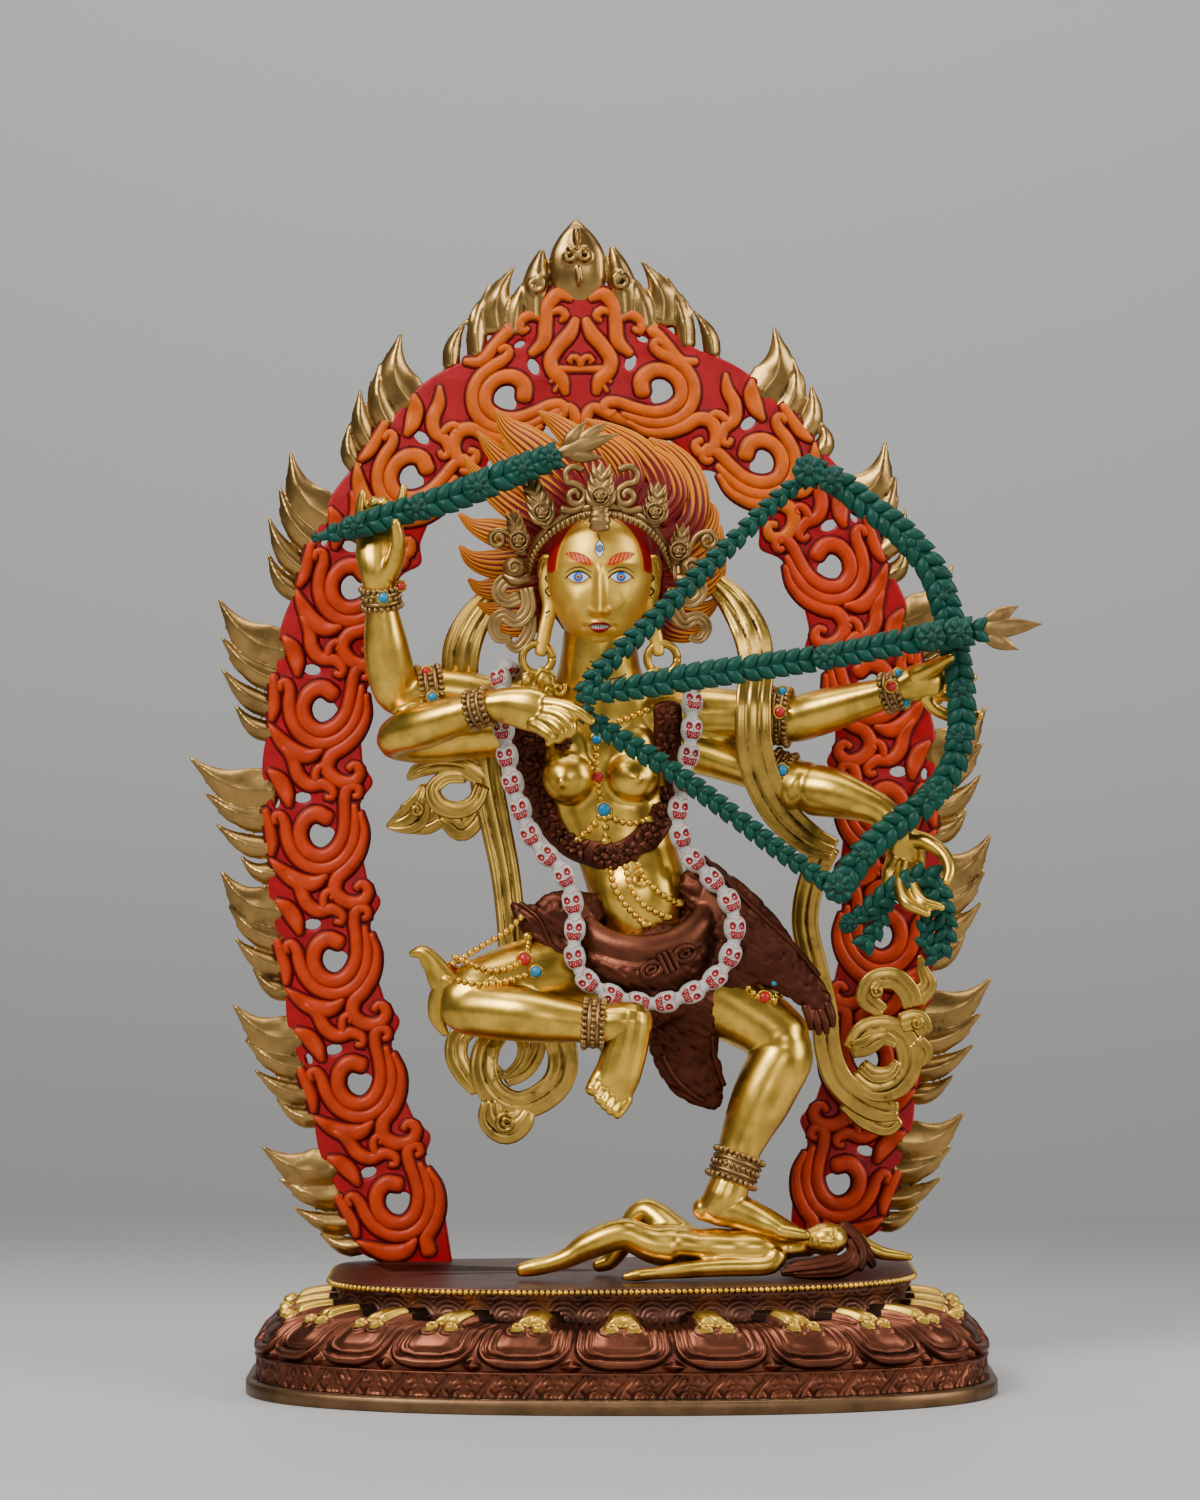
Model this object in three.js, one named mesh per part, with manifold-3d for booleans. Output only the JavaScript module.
// A statue of Kurukulla, four-armed and dancing, on a lotus plinth with a flame aureole behind.
// Millimetres, +Z up. A viewer in front looks along +Y with +X to the right.
// The origin is on the ground under the middle of the plinth.
import * as THREE from "three";
import { mergeVertices } from "three/addons/utils/BufferGeometryUtils.js";
import Module from "manifold-3d";

const wasm = await Module();
wasm.setup();

// Driving dimensions
const TOUCH_GAP = 0.35; // clearance between two pieces that touch
const MERGE = 1e-4; // vertices closer than this are one
const PLAN_POWER = 2.4; // roundness of the plinth's front, 2 would be an ellipse
const BACK_POWER = 9; // near-square corners of the plinth's flat back
const PLAN_STEPS = 32; // facets round the plinth

const FOOT = { half: 110.7, front: 51.4, back: 45, height: 4.2 };
const BAND = { half: 108, front: 48.7, back: 44, top: 11.6 };
const PETAL_TIP = { half: 106, front: 46.2, back: 43, z: 12.2 };
const PETAL_ROOT = { half: 85.5, front: 38, back: 39.5, z: 27 };
const DRUM = { half: 84, front: 35.6, back: 38.6, z: 30 };
const TOP = { half: 86, front: 37.3, back: 39.5, z: 34.5, slope: 0.0105 };

const PETALS_EACH_SIDE = 7; // beside the one in the middle
const PETAL_TURN = THREE.MathUtils.degToRad(15.9); // from one petal to the next on the front arc
const SIDE_TURN = THREE.MathUtils.degToRad(88); // where the front arc ends and the straight side starts
const SIDE_STEP = 18; // spacing of the petals on the straight sides

const ARCH = {
  reach: 85.4, // the band's middle line, half its width at the widest
  widest: 140, // height of the widest place above the plinth's top
  dropBelow: 192.7, // half height of the ellipse that the lower part follows
  riseAbove: 127.5, // half height of the ellipse that the upper part follows
  firstHole: 20.5,
  pitch: 38, // from one scroll to the next
  units: 8, // scrolls on each side
  inward: 12.5, // from the middle line to the inner edge
  outward: 16.5, // from the middle line to the outer edge
  near: 32.6,
  far: 37.2,
  lean: THREE.MathUtils.degToRad(2.5),
  pivot: 34,
};

// Basic solids

// A closed solid from a geometry whose shared vertices are merged, with its faces outward.
function solidOf(geometry) {
  const bare = geometry.clone();
  bare.deleteAttribute("normal");
  bare.deleteAttribute("uv");
  const merged = mergeVertices(bare, MERGE);
  const index = merged.index.array;
  const kept = [];
  for (let i = 0; i < index.length; i += 3) {
    const [a, b, c] = index.slice(i, i + 3);
    if (a !== b && b !== c && c !== a) kept.push(a, b, c);
  }
  const build = (triangles) =>
    new wasm.Manifold(
      new wasm.Mesh({
        numProp: 3,
        vertProperties: new Float32Array(merged.attributes.position.array),
        triVerts: new Uint32Array(triangles),
      }),
    );
  const made = build(kept);
  return made.volume() > 0 ? made : build(kept.reverse());
}

function union(solids) {
  return solids.reduce((whole, next) => whole.add(next));
}

function cutBy(solid, tools) {
  return tools.reduce((whole, tool) => whole.subtract(tool), solid);
}

// The largest connected body of a solid, without the chips and sealed pockets that joining leaves.
function mainBody(solid) {
  return solid.decompose().reduce((largest, next) => (next.volume() > largest.volume() ? next : largest));
}

const DEPTH_AXIS = new THREE.Vector3(0, 1, 0);

// A closed tapered tube: a sphere's rings laid along a smooth curve through the stations
// [x, y, z, radius, flat]. flat squeezes the section along the depth axis, and firstTurn turns
// its first corner, so that a three-sided line has its ridge towards the viewer at a quarter turn back.
function limb(stations, { sides = 8, rings = stations.length, blunt = 0.5, grow = 0, firstTurn = 0 } = {}) {
  const path = new THREE.CatmullRomCurve3(
    stations.map(([x, y, z]) => new THREE.Vector3(x, y, z)),
    false,
    "centripetal",
  );
  const girth = new THREE.CatmullRomCurve3(
    stations.map(([, , , radius, flat = 1], i) => new THREE.Vector3(radius + grow, radius * flat + grow, i)),
    false,
    "catmullrom",
    0.3,
  );
  const geometry = new THREE.SphereGeometry(1, sides, rings + 1);
  const { position, uv } = geometry.attributes;
  for (let i = 0; i < position.count; i++) {
    const ring = Math.round((1 - uv.getY(i)) * (rings + 1));
    const share = THREE.MathUtils.clamp((ring - 1) / (rings - 1), 0, 1);
    const turn = firstTurn + (2 * Math.PI * (i % (sides + 1))) / sides;
    const tangent = path.getTangent(share);
    const across = new THREE.Vector3().crossVectors(tangent, DEPTH_AXIS).normalize();
    const depth = new THREE.Vector3().crossVectors(across, tangent);
    const size = girth.getPoint(share);
    const point = path.getPoint(share);
    if (ring === 0) point.addScaledVector(tangent, -blunt * size.x);
    else if (ring === rings + 1) point.addScaledVector(tangent, blunt * size.x);
    else {
      point.addScaledVector(across, size.x * Math.cos(turn));
      point.addScaledVector(depth, size.y * Math.sin(turn));
    }
    position.setXYZ(i, point.x, point.y, point.z);
  }
  return solidOf(geometry);
}

// A flat plate in the upright plane, from an outline of [x, z] points, between two depths.
function plate(outline, near, far) {
  const shape = new THREE.Shape(outline.map(([x, z]) => new THREE.Vector2(x, z)));
  const geometry = new THREE.ExtrudeGeometry(shape, { depth: far - near, bevelEnabled: false, steps: 1 });
  geometry.rotateX(Math.PI / 2);
  geometry.translate(0, far, 0);
  return solidOf(geometry);
}

function ellipsoid([x, y, z], [rx, ry, rz], sides = 8, rings = 6) {
  const geometry = new THREE.SphereGeometry(1, sides, rings);
  geometry.rotateX(Math.PI / 2);
  geometry.scale(rx, ry, rz);
  geometry.translate(x, y, z);
  return solidOf(geometry);
}

// Lotus plinth

// A point of the plinth's front and sides: turn 0 is the middle of the front.
function frontPoint(turn, half, front) {
  const side = Math.sign(turn) || 1;
  const sweep = Math.min(Math.abs(turn), SIDE_TURN);
  const x = half * Math.sin(sweep);
  const y = -front * (1 - Math.sin(sweep) ** PLAN_POWER) ** (1 / PLAN_POWER);
  const past = ((Math.abs(turn) - sweep) / PETAL_TURN) * SIDE_STEP;
  return new THREE.Vector2(side * x, y + past);
}

// A point of the whole plan: round in front, nearly square behind.
function planPoint(angle, { half, front, back }) {
  const power = Math.sin(angle) < 0 ? PLAN_POWER : BACK_POWER;
  const reach = Math.sin(angle) < 0 ? front : back;
  const soften = (value) => (Math.abs(value) < MERGE ? 0 : Math.sign(value) * Math.abs(value) ** (2 / power));
  return new THREE.Vector2(half * soften(Math.cos(angle)), reach * soften(Math.sin(angle)));
}

// A stack of closed rings, flat at both ends: place(column, row) gives each corner.
function ringStack(columns, rows, place) {
  const geometry = new THREE.CylinderGeometry(1, 1, 1, columns, rows);
  const { position } = geometry.attributes;
  const middleHeight = (row) => (place(0, row).z + place(Math.floor(columns / 2), row).z) / 2;
  for (let i = 0; i < position.count; i++) {
    const turn = Math.atan2(position.getZ(i), position.getX(i)) / (2 * Math.PI);
    const column = (Math.round(turn * columns) + columns) % columns;
    const row = Math.round((position.getY(i) + 0.5) * rows);
    const onRing = Math.hypot(position.getX(i), position.getZ(i)) > 0.5;
    const point = onRing ? place(column, row) : new THREE.Vector3(0, 0, middleHeight(row));
    position.setXYZ(i, point.x, point.y, point.z);
  }
  return solidOf(geometry);
}

// A stack of whole plans, each level with its size and height.
function planStack(levels) {
  return ringStack(PLAN_STEPS, levels.length - 1, (column, row) => {
    const level = levels[row];
    const point = planPoint((2 * Math.PI * column) / PLAN_STEPS, level);
    const slope = level.slope ? level.slope * point.x : 0;
    return new THREE.Vector3(point.x, point.y, level.z + slope);
  });
}

// The convex slope that the petals lie on, from the root (0) to the tip (1).
function slopeAt(share) {
  const out = Math.sin((share * Math.PI) / 2);
  const up = Math.cos((share * Math.PI) / 2);
  return {
    half: THREE.MathUtils.lerp(PETAL_ROOT.half, PETAL_TIP.half, out),
    front: THREE.MathUtils.lerp(PETAL_ROOT.front, PETAL_TIP.front, out),
    back: THREE.MathUtils.lerp(PETAL_ROOT.back, PETAL_TIP.back, out),
    z: THREE.MathUtils.lerp(PETAL_TIP.z, PETAL_ROOT.z, up),
    out,
    up,
  };
}

// Where a petal is sampled: across it in petal widths, and along it from root to tip.
const PETAL_ACROSS = [-0.5, -0.33, 0, 0.33];
const PETAL_ALONG = [1, 0.9, 0.65, 0.57, 0.25, 0];
const TONGUE = { long: 0.6, half: 0.2, high: 1.7 };
const CUP = { atRoot: 0.5, gain: 1.4 }; // how proud a petal's middle stands, from root to tip
const LIP = { place: 0.95, width: 0.14, high: 1.1 };
const LIP_DROP = 0.6; // the tip's middle hangs this far below its corners' line
const CORNER_LIFT = 2;
const BACK_INSET = 3; // the flat back is narrower than the sides by this at each end
const TURN_NUDGE = 0.01; // for the direction of the front's outline

// How far a petal stands proud of the slope: a cup with a rolled lip and a raised tongue on it.
function petalHeight(across, along) {
  const cup = 1 - (2 * Math.abs(across)) ** 4;
  const lip = Math.max(0, 1 - Math.abs(along - LIP.place) / LIP.width);
  const onTongue = Math.abs(across) < TONGUE.half && along < TONGUE.long;
  return cup * (CUP.atRoot + CUP.gain * along + LIP.high * lip) + (onTongue ? TONGUE.high : 0);
}

// The skirt of petals: one row round the front and sides, plain and flat behind.
function petalSkirt() {
  const turns = [];
  for (let index = -PETALS_EACH_SIDE; index <= PETALS_EACH_SIDE; index++)
    for (const across of PETAL_ACROSS) turns.push({ turn: (index + across) * PETAL_TURN, across });
  turns.push({ turn: (PETALS_EACH_SIDE + 0.5) * PETAL_TURN, across: 0.5 });
  const backShares = [1, 0.33, -0.33, -1];
  const columns = turns.length + backShares.length;
  return ringStack(columns, PETAL_ALONG.length - 1, (column, row) => {
    const along = PETAL_ALONG[row];
    const ring = slopeAt(along);
    if (column >= turns.length) {
      const share = backShares[column - turns.length];
      return new THREE.Vector3(share * (ring.half - BACK_INSET), ring.back, ring.z);
    }
    const { turn, across } = turns[column];
    const point = frontPoint(turn, ring.half, ring.front);
    const ahead = frontPoint(turn + TURN_NUDGE, ring.half, ring.front);
    const side = ahead.sub(frontPoint(turn - TURN_NUDGE, ring.half, ring.front));
    const outward = new THREE.Vector2(side.y, -side.x).normalize();
    const height = petalHeight(across, along);
    point.addScaledVector(outward, height * ring.out);
    const hang = along === 1 ? LIP_DROP - CORNER_LIFT * across * across : 0;
    return new THREE.Vector3(point.x, point.y, ring.z + height * ring.up - hang);
  });
}

function lotusPlinth() {
  const foot = planStack([
    { ...FOOT, z: 0 },
    { ...FOOT, z: FOOT.height },
    { ...BAND, z: FOOT.height + 0.4 },
    { ...BAND, z: BAND.top },
  ]);
  const drum = planStack([
    { ...DRUM, z: BAND.top - 2 },
    { ...DRUM, z: DRUM.z },
    { ...TOP, z: TOP.z - 1.6 },
    TOP,
  ]);
  return union([foot, petalSkirt(), drum]);
}

const TRIM_SIZE = 400; // wider and taller than the whole statue

// Everything above the plinth's sloping top, to trim what stands on it.
function aboveTop(clearance) {
  const geometry = new THREE.BoxGeometry(TRIM_SIZE, TRIM_SIZE, TRIM_SIZE);
  geometry.translate(0, 0, TRIM_SIZE / 2);
  geometry.rotateY(-Math.atan(TOP.slope));
  geometry.translate(0, 0, TOP.z + clearance);
  return solidOf(geometry);
}

// Flame aureole

const lowerStart = -Math.asin((ARCH.widest - ARCH.firstHole) / ARCH.dropBelow);
const archPath = new THREE.CurvePath();
archPath.add(new THREE.EllipseCurve(0, ARCH.widest, ARCH.reach, ARCH.dropBelow, lowerStart, 0));
archPath.add(new THREE.EllipseCurve(0, ARCH.widest, ARCH.reach, ARCH.riseAbove, 0, Math.PI / 2));
const archLength = archPath.getLength();

// The arch's middle line at a length from its first hole, with its direction and outward side.
function archAt(length) {
  const share = THREE.MathUtils.clamp(length / archLength, 0, 1);
  const along = archPath.getTangentAt(Math.max(share, 0.002));
  const point = archPath.getPointAt(share).addScaledVector(along, Math.min(length, 0));
  return { point, along, outward: new THREE.Vector2(along.y, -along.x) };
}

// A place of a scroll unit in the upright plane: unit 0 is the lowest, side 1 is the right half,
// out is away from the arch's opening and up runs along the band.
function unitPlace(side, unit, out, up) {
  const { point, along, outward } = archAt(unit * ARCH.pitch);
  const place = point.clone().addScaledVector(outward, out).addScaledVector(along, up);
  return [side * place.x, place.y];
}

// The band's edge beside the middle line, mirrored for the left side.
function edgePoint(side, length, offset) {
  const { point, outward } = archAt(length);
  return [side * (point.x + outward.x * offset), point.y + outward.y * offset];
}

const EDGE_STEP = ARCH.pitch / 3;
const CROWN_RISE = 10; // the outer edge rises this much more at the apex

function outerOffset(length) {
  const nearTop = THREE.MathUtils.smoothstep(length, archLength - 30, archLength);
  return ARCH.outward + CROWN_RISE * nearTop;
}

function innerOffset(length) {
  const bump = Math.max(0, Math.cos((2 * Math.PI * (length - 0.48 * ARCH.pitch)) / ARCH.pitch));
  return -ARCH.inward - 3 * bump ** 3;
}

// Four flame tongues stand on the outer edge of each scroll, by the place of their tips.
const FLAME_TIPS = [
  { out: 25.5, up: 0 },
  { out: 30, up: 10.3 },
  { out: 30.8, up: 20 },
  { out: 32, up: 31 },
];
const TOP_FLAME_TIPS = [
  { out: 17, up: -8.2 },
  { out: 26.5, up: -0.4 },
  { out: 33.3, up: 10.6 },
  { out: 35, up: 20 },
];
// How each cluster's tips differ from those above, lowest first: pushed out, leaned out with
// height, and set lower
const CLUSTERS_LEFT = [
  { out: 0, lean: 0, drop: 0 },
  { out: 0, lean: -0.03, drop: -1.5 },
  { out: -0.8, lean: -0.04, drop: -1 },
  { out: -0.8, lean: 0.23, drop: 5 },
  { out: 1.4, lean: 0.07, drop: 1.5 },
  { out: 2, lean: -0.08, drop: -1.4 },
  { out: -0.8, lean: -0.07, drop: -2 },
];
const CLUSTERS_RIGHT = [
  { out: 0, lean: -0.06, drop: -0.5 },
  { out: 1.2, lean: 0, drop: 0 },
  { out: 0, lean: -0.02, drop: -2 },
  { out: 0, lean: 0, drop: 0 },
  { out: 0, lean: 0, drop: 0 },
  { out: -2.4, lean: 0.05, drop: 3.5 },
  { out: -4, lean: 0.08, drop: 2.7 },
];
const FLAME_BELLY = { out: -4.2, up: -7.5 };
const FLAME_VALLEY = { out: -8.4, up: -1.2 };
const CLUSTER_FOOT = { out: 17.5, up: -13 };
const TOP_CLUSTER_FOOT = { out: 17.5, up: -19 };

// The tips of one cluster's tongues, from the lowest up.
function clusterTips(side, unit) {
  const cluster = (side > 0 ? CLUSTERS_RIGHT : CLUSTERS_LEFT)[unit];
  if (!cluster) return TOP_FLAME_TIPS;
  return FLAME_TIPS.map(({ out, up }) => ({ out: out + cluster.out + cluster.lean * up, up: up - cluster.drop }));
}

// The outer edge of one scroll unit, from its lower end upwards.
function flameEdge(side, unit) {
  const foot = unit === ARCH.units - 1 ? TOP_CLUSTER_FOOT : CLUSTER_FOOT;
  const edge = [unitPlace(side, unit, foot.out, foot.up)];
  for (const tip of clusterTips(side, unit)) {
    for (const move of [FLAME_BELLY, { out: 0, up: 0 }, FLAME_VALLEY])
      edge.push(unitPlace(side, unit, tip.out + move.out, tip.up + move.up));
  }
  return edge;
}

function bandOutline() {
  const outerOn = (side) => {
    const edge = [];
    for (let unit = 0; unit < ARCH.units; unit++) edge.push(...flameEdge(side, unit));
    edge.push(edgePoint(side, archLength - 10, outerOffset(archLength - 10)));
    return edge;
  };
  const innerOn = (side) => {
    const edge = [];
    for (let length = -8; length < archLength - 1; length += EDGE_STEP)
      edge.push(edgePoint(side, length, innerOffset(length)));
    return edge;
  };
  const foot = (side) => [
    [side * 77, 4.5],
    [side * 67, 2.5],
    [side * 66, -6],
    [side * 51, -6],
  ];
  return [
    ...innerOn(-1).reverse(),
    ...foot(-1).reverse(),
    ...outerOn(-1),
    edgePoint(1, archLength, outerOffset(archLength)),
    ...outerOn(1).reverse(),
    ...foot(1),
    ...innerOn(1),
    edgePoint(1, archLength, innerOffset(archLength)),
  ];
}

const EYE = { out: 4.1, up: 3.6, corners: 7 };
const SMALL_HOLE = { out: 6.3, up: 12, radius: 2.4, corners: 4 };
const HOLE_REACH = 5; // the cutting tools stand this far out of the plate's faces

// The kidney-shaped eye of a scroll, and the small round hole above it.
function scrollHoles(side, unit) {
  const ring = (corners, place) =>
    Array.from({ length: corners }, (_, i) => place((2 * Math.PI * i) / corners)).map(([out, up]) =>
      unitPlace(side, unit, out, up),
    );
  const eye = ring(EYE.corners, (turn) => [EYE.out * Math.cos(turn), EYE.up * Math.sin(turn)]);
  const small = ring(SMALL_HOLE.corners, (turn) => [
    SMALL_HOLE.out + SMALL_HOLE.radius * Math.cos(turn),
    SMALL_HOLE.up + SMALL_HOLE.radius * Math.sin(turn),
  ]);
  return [eye, small].map((hole) => (side > 0 ? hole : hole.reverse()));
}

const RELIEF_SUNK = 0.4; // the widest part of a raised line lies this far inside the plate

// The raised C that winds round the eye of a scroll, as [out, up, width].
const C_SCROLL = [
  [-1, 7.5, 2.2],
  [6, 6, 1.6],
  [5.4, -2.8, 1.6],
  [-2.4, -4.8, 1.6],
  [-6.4, 6, 1.6],
  [-4, 16, 1.3],
];

// The leaf at the arch's apex as [x, z, half width, flat]
const FINIAL = [
  [0, 284, 14, 0.2],
  [0, 294, 13, 0.25],
  [0, 305, 8.5, 0.35],
  [0, 315.5, 0.5, 1],
];

function raisedScroll(side, unit, line) {
  const stations = line.map(([out, up, width]) => {
    const [x, z] = unitPlace(side, unit, out, up);
    return [x, ARCH.near + RELIEF_SUNK, z, width, 1.3];
  });
  return limb(stations, { sides: 3, firstTurn: -Math.PI / 2 });
}

function flameAureole() {
  const holes = [];
  const raised = [];
  for (const side of [-1, 1]) {
    for (let unit = 0; unit < ARCH.units; unit++) {
      for (const hole of scrollHoles(side, unit)) holes.push(plate(hole, ARCH.near - HOLE_REACH, ARCH.far + HOLE_REACH));
      raised.push(raisedScroll(side, unit, C_SCROLL));
    }
  }
  const depth = (ARCH.near + ARCH.far) / 2;
  const finial = limb(
    FINIAL.map(([x, z, half, flat]) => [x, depth, z, half, flat]),
    { sides: 6 },
  );
  const whole = union([plate(bandOutline(), ARCH.near, ARCH.far), ...raised, finial]);
  return cutBy(whole, holes)
    .rotate([0, -THREE.MathUtils.radToDeg(ARCH.lean), 0])
    .translate([0, 0, ARCH.pivot])
    .intersect(aboveTop(TOUCH_GAP));
}

// Deity figure: limbs as stations [x, y, z, radius, flat]

const TORSO = [
  [-6.5, 0, 225, 9.2],
  [-6.5, 3, 209, 9.4, 0.9],
  [-6, 4, 201, 17.5, 0.55],
  [-5.5, 4, 189, 19, 0.55],
  [-3, 4, 173, 17.5, 0.58],
  [2, 1, 158, 15, 0.72],
  [4.8, -1, 147, 14.8, 0.9],
  [6, 0, 138, 14, 0.95],
  [8, 2, 128, 18, 0.7],
  [9, 3, 118, 16, 0.6],
];
const HEAD = [
  [-6.5, 1, 259, 8],
  [-6.5, 0, 253, 13, 1.05],
  [-6.5, -1, 244, 14.6, 1.05],
  [-6.5, -1.5, 235, 14, 1.05],
  [-6.5, -2.5, 228, 11, 1.05],
  [-6.5, -3.5, 223.5, 6],
];
const NOSE = [
  [-6.5, -15.5, 243, 1.4],
  [-6.5, -18.2, 236.5, 2.2],
];
const BREASTS = [
  [-15.5, -4.5, 181],
  [3, -4.5, 181],
];
const BREAST_RADIUS = 8.2;

const ARMS = {
  upperRight: [
    [-18, 5, 199, 9],
    [-36, 5, 203, 7],
    [-55, 3, 206, 6.6],
    [-65.5, 0, 204, 7],
    [-67.5, -2, 210, 7.2],
    [-69.5, -6, 220, 6.5],
    [-70.5, -9, 233, 4.6],
  ],
  lowerRight: [
    [-18, 5, 196, 8],
    [-40, 6, 193, 6.8],
    [-62, 3, 190.5, 6.2],
    [-68, -2, 191.5, 5.6],
    [-64, -7, 194, 6],
    [-55, -11, 196.5, 6.6],
    [-41, -16, 201, 4.9],
  ],
  upperLeft: [
    [10, 5, 198, 9],
    [33, 3, 199, 7.6],
    [50, 0, 198, 7.3],
    [63, -5, 201, 6.2],
    [79, -12, 205.5, 4.6],
  ],
  lowerLeft: [
    [12, 5, 192, 8],
    [33, 4, 185, 6.4],
    [46, 2, 181, 6.6],
    [54, -2, 176.5, 8.2],
    [67, -8, 174.5, 6.4],
    [78, -12, 169.5, 4.6],
  ],
};
const HANDS = {
  upperRight: [
    [-70.5, -9, 236, 4.4],
    [-71, -10.5, 244, 6.4, 0.55],
    [-71, -9.5, 251, 6.6, 0.45],
  ],
  lowerRight: [
    [-40, -16.5, 201.3, 4.8],
    [-32, -19.5, 200.8, 6, 0.6],
    [-24, -22, 199.5, 5.6, 0.5],
    [-18, -23, 196.5, 4, 0.6],
  ],
  upperLeft: [
    [80, -12.5, 206, 4.6],
    [86, -14, 207, 6, 0.5],
    [91, -14.5, 207.5, 5.6, 0.45],
  ],
  lowerLeft: [
    [78, -12, 169.5, 4.8],
    [82, -12.5, 163, 5.4, 0.6],
    [84, -12, 156, 6, 0.5],
  ],
};
// Fingers as [root x, y, z, radius] then a knuckle and a tip
const FINGERS = [
  [[-76, -9.5, 251, 2], [-77.5, -8.5, 258, 1.9], [-76.5, -9, 264, 1.4]],
  [[-72.5, -9.5, 252, 2], [-73, -8.5, 259, 1.9], [-71.5, -9, 263, 1.4]],
  [[-68, -9.5, 251, 2], [-66.5, -8, 259, 1.9], [-65, -9, 265.5, 1.2]],
  [[-66.5, -12, 243, 2.1], [-64.5, -17, 248, 2], [-66.5, -22, 254, 1.4]],
  [[-22, -23, 201, 2], [-14, -26.5, 200, 2], [-8.8, -28.5, 196.5, 1.4]],
  [[-22, -23, 197, 2], [-17, -26, 194.5, 2], [-19.5, -27.5, 191.5, 1.5]],
  [[89, -14, 210, 2], [93.5, -18, 213.5, 1.9], [95.5, -24.5, 215, 1.3]],
  [[90, -13, 205, 1.9], [96, -12.5, 204.5, 1.8], [102.5, -15.5, 205.5, 1.3]],
  [[90, -13.2, 208.5, 1.9], [96, -12.5, 209.5, 1.8], [102.5, -15.5, 210, 1.3]],
  [[84, -13, 161, 2.2], [91.5, -18.5, 160, 2], [95.8, -24.6, 151, 1.5]],
  [[82, -13, 153, 2], [82.5, -21.5, 145.5, 2], [94, -24.5, 142.5, 1.5]],
];

const LEGS = {
  raisedThigh: [
    [4, 2, 124, 14, 0.8],
    [-20, -4, 122, 12.5, 0.9],
    [-38, -10, 119, 10.5],
    [-46, -14, 115, 8],
  ],
  raisedShin: [
    [-47, -14, 113.5, 6.4],
    [-40, -18, 112.5, 7.8],
    [-28, -22, 111.5, 7.8],
    [-11, -25, 109.5, 6],
    [1, -25.5, 109, 5.6],
  ],
  raisedFoot: [
    [2.5, -25.5, 111, 6.2],
    [0.5, -26, 102, 6.2],
    [-1.5, -27, 93, 5.6, 0.8],
    [-4, -27.5, 87, 5, 0.6],
    [-3.5, -27.5, 82, 2.8, 0.7],
  ],
  standingThigh: [
    [14, 2, 122, 14, 0.8],
    [32, -1, 114, 11.5, 0.9],
    [46, -6, 106, 9.4],
  ],
  standingShin: [
    [48.5, -7, 104, 8.2],
    [43.5, -8, 93, 9],
    [37.5, -10, 80, 7.9],
    [33, -12, 68, 6.3],
    [29.5, -13, 57, 6],
  ],
  standingFoot: [
    [24.5, -13, 53.6, 4],
    [30, -13.5, 53.8, 5.2],
    [38, -15, 51, 4.8, 1],
    [47, -17, 48.4, 3.4, 1.4],
    [53.5, -18.5, 47.2, 1.8, 1.6],
  ],
};
// Bracelets, armlets and anklets as the two ends [x, y, z] and a radius
const RINGS = [
  [[-70.3, -8, 230.5], [-70.6, -9.5, 236.5], 6.2],
  [[-60.5, 2.2, 206], [-53, 3.4, 206.5], 8],
  [[-44, -15, 200], [-38, -17.2, 201.8], 6.2],
  [[44, 1.2, 199], [49.5, 0, 199.2], 9.4],
  [[77, -11, 205], [82, -12.8, 206.4], 6.4],
  [[44.5, 2.4, 182.5], [50.5, 1, 181.5], 8.8],
  [[-11, -25, 109.5], [-5, -25.3, 109.2], 7.8],
  [[33.8, -11.8, 68.6], [31.4, -12.6, 61.6], 8.2],
];

// Tips of the flame-like locks of hair, [x, z], clockwise from the lowest on the left
const LOCK_TIPS = [
  [-42.5, 232],
  [-45, 239],
  [-48, 249],
  [-48, 258],
  [-46, 275],
  [-42, 283],
  [-37.5, 289.5],
  [-23, 288.5],
  [-10, 286],
  [9, 281],
  [21, 274],
  [24.5, 262],
  [28.5, 254],
  [30, 240],
  [26, 228],
];
const HAIR = { x: -6, y: 7, z: 250, inner: 15 };
const LOCK = { root: 5.4, middle: 4.8, tip: 0.7, flat: 0.6, halfway: 0.62, bend: 0.08 };
const HAIR_CORE = [
  [-5, 9, 225, 13, 0.55],
  [-5, 9, 241, 21, 0.45],
  [-8, 8, 258, 22, 0.42],
  [-14, 7, 275, 13, 0.4],
];

function lock([x, z]) {
  const away = new THREE.Vector2(x - HAIR.x, z - HAIR.z);
  const root = away.clone().setLength(HAIR.inner);
  const bend = new THREE.Vector2(away.y, -away.x).multiplyScalar(LOCK.bend);
  const middle = away.clone().multiplyScalar(LOCK.halfway).add(bend);
  return limb(
    [
      [HAIR.x + root.x, HAIR.y, HAIR.z + root.y, LOCK.root, LOCK.flat],
      [HAIR.x + middle.x, HAIR.y + 1, HAIR.z + middle.y, LOCK.middle, LOCK.flat],
      [x, HAIR.y + 2, z, LOCK.tip, 1],
    ],
    { sides: 4 },
  );
}

// Crown leaves as [x, z of the base, x, z of the tip, half width]
const CROWN_LEAVES = [
  [-6.5, 258, -6, 271.5, 4.6],
  [-21.5, 251.5, -27, 268, 4.2],
  [9.5, 254, 10.5, 266, 4.2],
  [-29.5, 241, -32, 259, 3.4],
  [16.5, 240, 17.5, 254.5, 3.4],
];
const CROWN_BAND = [
  [-29, 0, 240, 3],
  [-25.5, -6, 247, 3],
  [-18.5, -12.5, 254, 3],
  [-6.5, -15.5, 257, 3],
  [5.5, -12.5, 254.5, 3],
  [12.5, -6, 247.5, 3],
  [16, 0, 241, 3],
];

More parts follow.
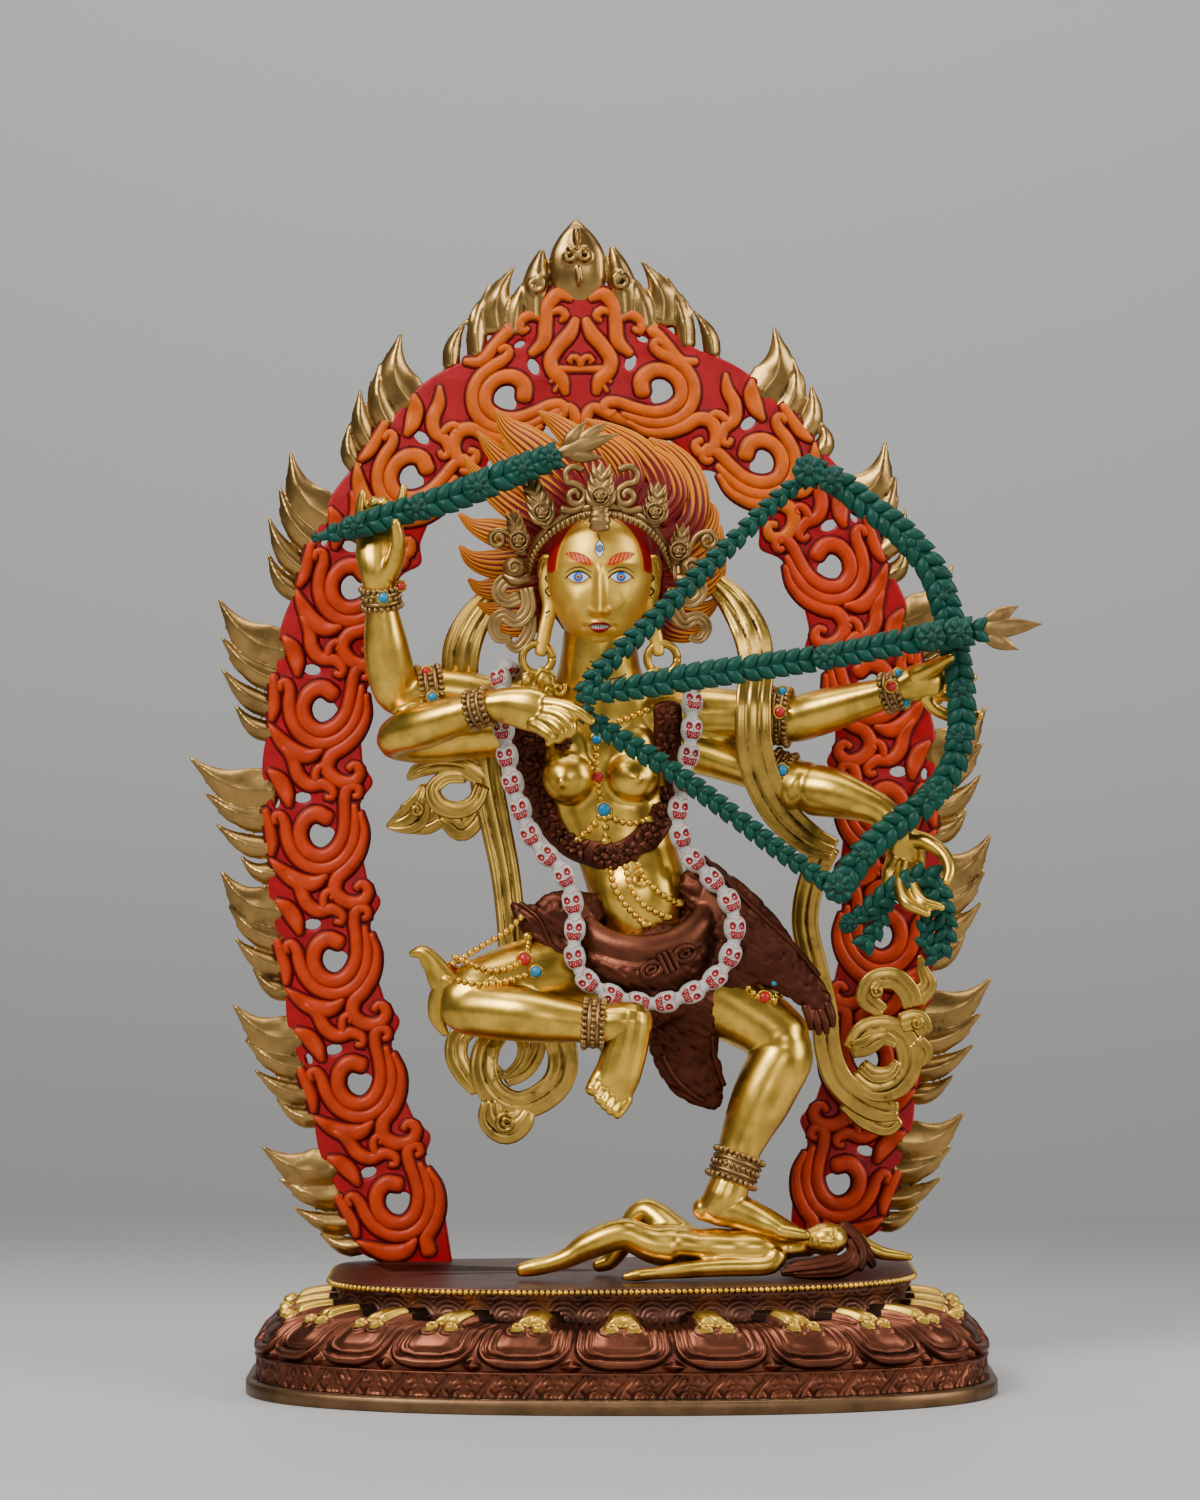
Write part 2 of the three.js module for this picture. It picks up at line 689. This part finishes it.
function crownLeaf([baseX, baseZ, tipX, tipZ, halfWidth]) {
  const depth = (x) => -14.5 + 0.024 * (x + 6.5) ** 2;
  const middle = [(baseX + tipX) / 2, (baseZ + tipZ) / 2];
  return limb(
    [
      [baseX, depth(baseX), baseZ, halfWidth * 0.7, 0.6],
      [middle[0], depth(middle[0]), middle[1], halfWidth, 0.5],
      [tipX, depth(tipX), tipZ, 0.4, 1],
    ],
    { sides: 4 },
  );
}

// An ear ring hanging from a long lobe, with its leaf below.
function earring(x) {
  const ring = new THREE.TorusGeometry(4.3, 1.4, 3, 7);
  ring.rotateX(Math.PI / 2);
  ring.translate(x, -3, 216);
  const toHead = x < 0 ? 1 : -1;
  return union([
    solidOf(ring),
    limb([[x + 1.6 * toHead, -2, 243, 2.6, 0.8], [x + 2 * toHead, -3, 231, 3, 0.7], [x + 1.5 * toHead, -3, 219, 1.6]], {
      sides: 4,
    }),
    limb([[x, -3, 213, 2.6, 0.7], [x + toHead, -4, 207, 4, 0.6]], { sides: 4 }),
  ]);
}

// Tiger-skin skirt: the roll under the belly, its flaps and its hanging tail
const SKIRT_PLATES = [
  { near: -9, far: 7, outline: [[-31, 143], [-18, 149], [-8, 146], [-2, 124], [-18, 126], [-26, 133]] },
  {
    near: -7,
    far: 9,
    outline: [[20, 158], [28, 156], [31, 150], [38, 142], [45, 135], [52, 125], [59, 120], [61, 112], [55, 106], [47, 112],
      [36, 117], [22, 122]],
  },
];
const SKIRT_LIMBS = [
  [[-10, -9, 139, 3], [-3, -13, 131, 4], [7, -15, 129, 4.4], [17, -14, 132, 4], [25, -9, 142, 3.4]],
  [[18, -2, 116, 12, 0.4], [18, -3, 103, 9, 0.35], [22, -3, 92, 7.5, 0.3], [29, -3, 84.5, 4, 0.4]],
];

function deityFigure() {
  const parts = [TORSO, HEAD, HAIR_CORE].map((stations) => limb(stations));
  parts.push(limb(NOSE, { sides: 4 }), limb(CROWN_BAND, { sides: 4 }));
  for (const stations of Object.values(ARMS)) parts.push(limb(stations, { sides: 6 }));
  for (const stations of Object.values(HANDS)) parts.push(limb(stations, { sides: 6 }));
  for (const stations of Object.values(LEGS)) parts.push(limb(stations, { sides: 7 }));
  for (const stations of FINGERS) parts.push(limb(stations, { sides: 4 }));
  for (const centre of BREASTS) parts.push(ellipsoid(centre, [BREAST_RADIUS, BREAST_RADIUS, BREAST_RADIUS]));
  for (const [from, to, radius] of RINGS) parts.push(limb([[...from, radius], [...to, radius]], { sides: 7, rings: 2, blunt: 0 }));
  for (const tip of LOCK_TIPS) parts.push(lock(tip));
  for (const leaf of CROWN_LEAVES) parts.push(crownLeaf(leaf));
  for (const x of [-25, 11.5]) parts.push(earring(x));
  for (const { outline, near, far } of SKIRT_PLATES) parts.push(plate(outline, near, far));
  for (const stations of SKIRT_LIMBS) parts.push(limb(stations, { sides: 6 }));
  return union(parts);
}

// Garlands, bow, arrow, hook and noose: stations [x, y, z, radius]

const SKULL_RADIUS = 3.2;
const SKULL_GARLAND = [
  [-6, 15, 206],
  [-27, 12, 209],
  [-35, 2, 212],
  [-34.5, -6, 203],
  [-34, -9, 190],
  [-31, -11, 176],
  [-25.5, -13, 162],
  [-16, -15, 151],
  [-13.8, -17, 140],
  [-12.5, -19, 125],
  [-4, -20, 117.5],
  [8, -20, 115],
  [21, -19, 118.5],
  [31, -17, 127],
  [32, -15, 139],
  [26, -14, 151],
  [18, -13, 160],
  [16.2, -12, 171],
  [19.5, -9, 186],
  [21, -6, 200],
  [19, 4, 209],
  [6, 13, 208],
];
const BOW = [
  [54, -18, 270, 4.4],
  [68, -19, 261.5, 3.6],
  [80, -20, 252.5, 3.8],
  [89, -20, 242, 4],
  [94.5, -20, 227, 4],
  [98, -20, 208, 3.6],
  [98, -20, 192, 3.6],
  [92.5, -20, 178, 3.6],
  [81, -20, 168, 3.4],
  [70, -20, 158.5, 3.4],
  [63, -19, 148, 4.4],
];
const STRING = [
  [54, -18, 269, 2.6],
  [40, -20, 256.5, 2.8],
  [21, -22, 238, 2.8],
  [3, -24, 221, 2.8],
  [-9, -26, 208, 3],
  [-12, -26.5, 201, 2.8],
  [-4, -26, 193, 3],
  [12, -25, 184, 3],
  [33, -22, 169, 2.8],
  [47, -20, 158.5, 2.8],
  [62, -19, 148.5, 2.6],
];
const ARROW = [
  [-11, -32.5, 204, 2.6],
  [4, -32.5, 206.5, 3.4],
  [20, -31.5, 209.5, 3.6],
  [40, -30, 212.5, 3.6],
  [60, -29, 215.5, 3.4],
  [80, -28.5, 219.5, 3.6],
  [104, -28.5, 223, 3.2],
];
const HOOK = [
  [-90, -16.5, 250, 1.4],
  [-80, -15.5, 253, 3.2],
  [-65, -15, 257.5, 3.6],
  [-50, -15, 262, 3.9],
  [-34, -15, 268.5, 3.8],
  [-18, -15, 274.5, 3.4],
];
const NOOSE = [
  [64, -18, 136.5, 2.4],
  [72, -18, 142.5, 3],
  [82, -18, 149.5, 3.3],
  [90, -18, 152, 3.2],
  [93, -18, 143, 3],
  [93.8, -18, 133, 2.8],
  [91, -18, 128.5, 2.6],
  [88.6, -18, 132, 2.5],
  [88.5, -18, 140, 2.5],
  [89, -18, 150, 2.5],
];
const NOOSE_TAIL = [
  [77, -17.5, 145, 2.4],
  [74, -17.5, 137, 2.6],
  [70, -17.5, 131, 3.2],
];
// Pointed leaves at the ends of the arrow and the hook as [x, z of the base, x, z of the tip]
const ARROW_LEAVES = [
  [103, 223, 121, 224.5],
  [104, 224.5, 113.5, 229.5],
  [104, 222, 113.5, 218],
];
const HOOK_LEAVES = [
  [-18, 275, -1, 280],
  [-16, 276, -9.5, 283.5],
  [-16, 275, -5, 274.5],
];

function leaf([baseX, baseZ, tipX, tipZ], depth) {
  return limb(
    [
      [baseX, depth, baseZ, 1.2, 0.8],
      [(baseX + tipX) / 2, depth, (baseZ + tipZ) / 2, 2.6, 0.5],
      [tipX, depth, tipZ, 0.4, 1],
    ],
    { sides: 4 },
  );
}

// The garland of skulls, closed behind the neck.
function garlandTube(grow = 0) {
  const stations = [...SKULL_GARLAND, SKULL_GARLAND[0]].map((place) => [...place, SKULL_RADIUS]);
  return limb(stations, { sides: 5, rings: stations.length + 4, grow, blunt: 0 });
}

const bowSolid = (grow = 0) =>
  union([
    limb(BOW, { sides: 6, grow }),
    limb(STRING, { sides: 6, grow }),
  ]);
const arrowSolid = (grow = 0) =>
  union([limb(ARROW, { sides: 6, grow }), ...ARROW_LEAVES.map((place) => leaf(place, -28.5))]);
const hookSolid = (grow = 0) =>
  union([limb(HOOK, { sides: 6, grow }), ...HOOK_LEAVES.map((place) => leaf(place, -15))]);
const nooseSolid = (grow = 0) =>
  union([limb(NOOSE, { sides: 6, grow }), limb(NOOSE_TAIL, { sides: 6, grow })]);

// Scarf ribbons, each a flat sweep with stations [x, y, z, half width, flat]

const RIBBON_FLAT = 0.38;
const SCARF_RIGHT = [
  [
    [-33, 12, 236, 3],
    [-42, 10, 228, 4],
    [-47, 9, 219, 5],
    [-47.5, 9.5, 210, 5],
    [-43.5, 12.5, 201, 4.6],
    [-40, 14.5, 192, 4.4],
    [-37.5, 14.5, 178, 4.6],
    [-35, 13, 165, 4.6],
    [-33.5, 12, 150, 4.2],
    [-33.5, 11, 135, 4.2],
    [-37, 7, 118, 4],
    [-40, 3, 105, 3.4],
    [-42, 0, 95, 3.2],
    [-38, -1, 87, 3.2],
    [-30, -2, 83.5, 3.2],
    [-21, -2, 87, 3.2],
    [-16.5, -2, 95, 3.2],
    [-16, -1, 104.5, 3.2],
  ],
  [
    [-38, 14, 180, 4.4],
    [-48, 15, 181, 3.6],
    [-58, 16, 181, 4],
    [-66, 16, 176, 4.4],
    [-68, 16, 167, 3.4],
  ],
  [
    [-40, 14, 172, 3],
    [-48, 15, 166, 4],
    [-58, 15.5, 165, 3.6],
    [-67, 16, 167, 3],
  ],
  [
    [-36, 9, 122, 4],
    [-46, 6, 123, 4],
    [-55, 4, 121, 3.4],
    [-56, 4, 128, 3],
    [-59.5, 4, 129, 2],
  ],
  [
    [-40, -0.5, 90, 3.4],
    [-38, -0.5, 80, 3.6],
    [-33, -1, 76.5, 3.6],
    [-29, -1, 80, 3],
  ],
  [
    [-41, 1, 103, 3.4],
    [-47.5, 2, 100, 3.2],
    [-46.5, 1, 91, 2.4],
  ],
];
const SCARF_LEFT = [
  [
    [27, 10, 238, 3],
    [33, 7, 232, 4],
    [38, 3, 223, 5],
    [39.5, -4, 213, 5],
    [38.5, -9, 203, 5],
    [38.6, -9.5, 191, 5],
    [41.5, -7, 179, 4.8],
    [47, -4, 169.5, 4.8],
    [55.5, -1, 162, 4.4],
    [59, 3, 156, 4],
    [55, 8, 149, 4],
    [54.5, 11, 138, 4],
    [58, 14, 124, 4],
    [61.5, 18, 111, 4.2],
    [63, 21, 98, 4.2],
    [68, 23, 88, 4.2],
    [77, 24, 82.5, 4],
    [85, 24, 87, 4],
    [84, 24, 96, 4.4],
    [78, 24, 97, 4.4],
  ],
  [
    [62, 18, 108, 3.6],
    [70, 22, 111, 3.6],
    [78, 24, 117, 4],
    [87, 24, 118, 3],
  ],
  [
    [82, 24, 98, 4],
    [74, 24, 104, 4],
    [70, 24, 98, 4],
    [73, 24, 92, 3],
  ],
];

function scarf(runs, grow = 0) {
  return union(
    runs.map((run) =>
      limb(
        run.map(([x, y, z, half]) => [x, y, z, half, RIBBON_FLAT]),
        { sides: 4, grow },
      ),
    ),
  );
}

// Prone figure under the standing foot

const PRONE_LIMBS = [
  [[12, -14, 41, 5.4, 1.3], [20, -14, 41.5, 4.8, 1.4], [30, -14, 42, 4.9, 1.5], [42, -14, 41.5, 4.4, 1.6], [50, -14, 41, 3.6, 1.3]],
  [[50, -14, 41.5, 2.6], [56, -14.5, 43, 3.6]],
  [[56, -15, 42.5, 4.4], [61, -15, 43.8, 5.6], [66, -15, 42, 4]],
  [[-29, -15, 35.6, 1.6], [-21, -15, 38, 2.4], [-10, -15, 43.5, 3], [-1.5, -15, 46.2, 3], [8, -15, 43, 3.8], [16, -14.5, 41, 4.6]],
  [[-4, -5, 36.5, 2], [2, -6, 45, 2.8], [7, -7, 52, 3], [12, -9, 48.5, 3.4], [18, -11, 43, 4.4]],
  [[46, -20, 39.5, 3], [38, -21.5, 38.3, 2.4], [26, -22, 37.8, 2.2], [12, -22.5, 37, 2], [1, -23, 36, 1.4]],
  [[46, -8, 39, 3], [58, -4, 37.8, 2.4], [72, -4, 37.4, 2.2], [83, -6, 36.6, 1.3]],
  [[66, -15, 43, 3.4], [70, -14.5, 39.8, 3.2], [77, -13, 38, 2.2], [84, -11, 37.2, 1.2]],
  [[62, -19, 38.4, 3], [54, -20, 38.2, 2.8], [49, -20.5, 38, 2.2]],
];

function proneFigure() {
  const limbs = PRONE_LIMBS.map((stations) => limb(stations, { sides: 5 }));
  return union(limbs).intersect(aboveTop(TOUCH_GAP));
}

// A solid's copies pushed a little each way, to leave clearance round it.
function withClearance(solid) {
  const shifts = [
    [TOUCH_GAP, 0, 0],
    [-TOUCH_GAP, 0, 0],
    [0, TOUCH_GAP, 0],
    [0, -TOUCH_GAP, 0],
    [0, 0, TOUCH_GAP],
    [0, 0, -TOUCH_GAP],
  ];
  return union([solid, ...shifts.map((shift) => solid.translate(shift))]);
}

// The assembled statue

function meshOf(name, solid, color, roughness, metalness) {
  const { vertProperties, triVerts } = mainBody(solid).getMesh();
  const geometry = new THREE.BufferGeometry();
  geometry.setAttribute("position", new THREE.BufferAttribute(vertProperties, 3));
  geometry.setIndex(new THREE.BufferAttribute(triVerts, 1));
  geometry.computeVertexNormals();
  const mesh = new THREE.Mesh(geometry, new THREE.MeshStandardMaterial({ color, roughness, metalness }));
  mesh.name = name;
  return mesh;
}

const prone = proneFigure();
const held = [garlandTube(TOUCH_GAP), bowSolid(TOUCH_GAP), arrowSolid(TOUCH_GAP), hookSolid(TOUCH_GAP),
  nooseSolid(TOUCH_GAP), scarf(SCARF_RIGHT, TOUCH_GAP), scarf(SCARF_LEFT, TOUCH_GAP), withClearance(prone)];

const statue = new THREE.Group();
statue.add(
  meshOf("lotus_plinth", lotusPlinth(), 0x7a4630, 0.45, 0.6),
  meshOf("flame_aureole", flameAureole(), 0xc9461c, 0.5, 0.1),
  meshOf("prone_figure", prone, 0xc39a45, 0.28, 0.95),
  meshOf("deity_figure", cutBy(deityFigure(), held), 0xbf9140, 0.28, 0.95),
  meshOf("skull_garland", garlandTube(), 0xd8d5cc, 0.6, 0),
  meshOf("flower_bow", bowSolid(), 0x0d5b45, 0.5, 0.05),
  meshOf("flower_arrow", arrowSolid(), 0x0d5b45, 0.5, 0.05),
  meshOf("flower_hook", hookSolid(), 0x0d5b45, 0.5, 0.05),
  meshOf("flower_noose", nooseSolid(), 0x0d5b45, 0.5, 0.05),
  meshOf("scarf_right", scarf(SCARF_RIGHT), 0xa98442, 0.35, 0.9),
  meshOf("scarf_left", scarf(SCARF_LEFT), 0xa98442, 0.35, 0.9),
);

export default statue;
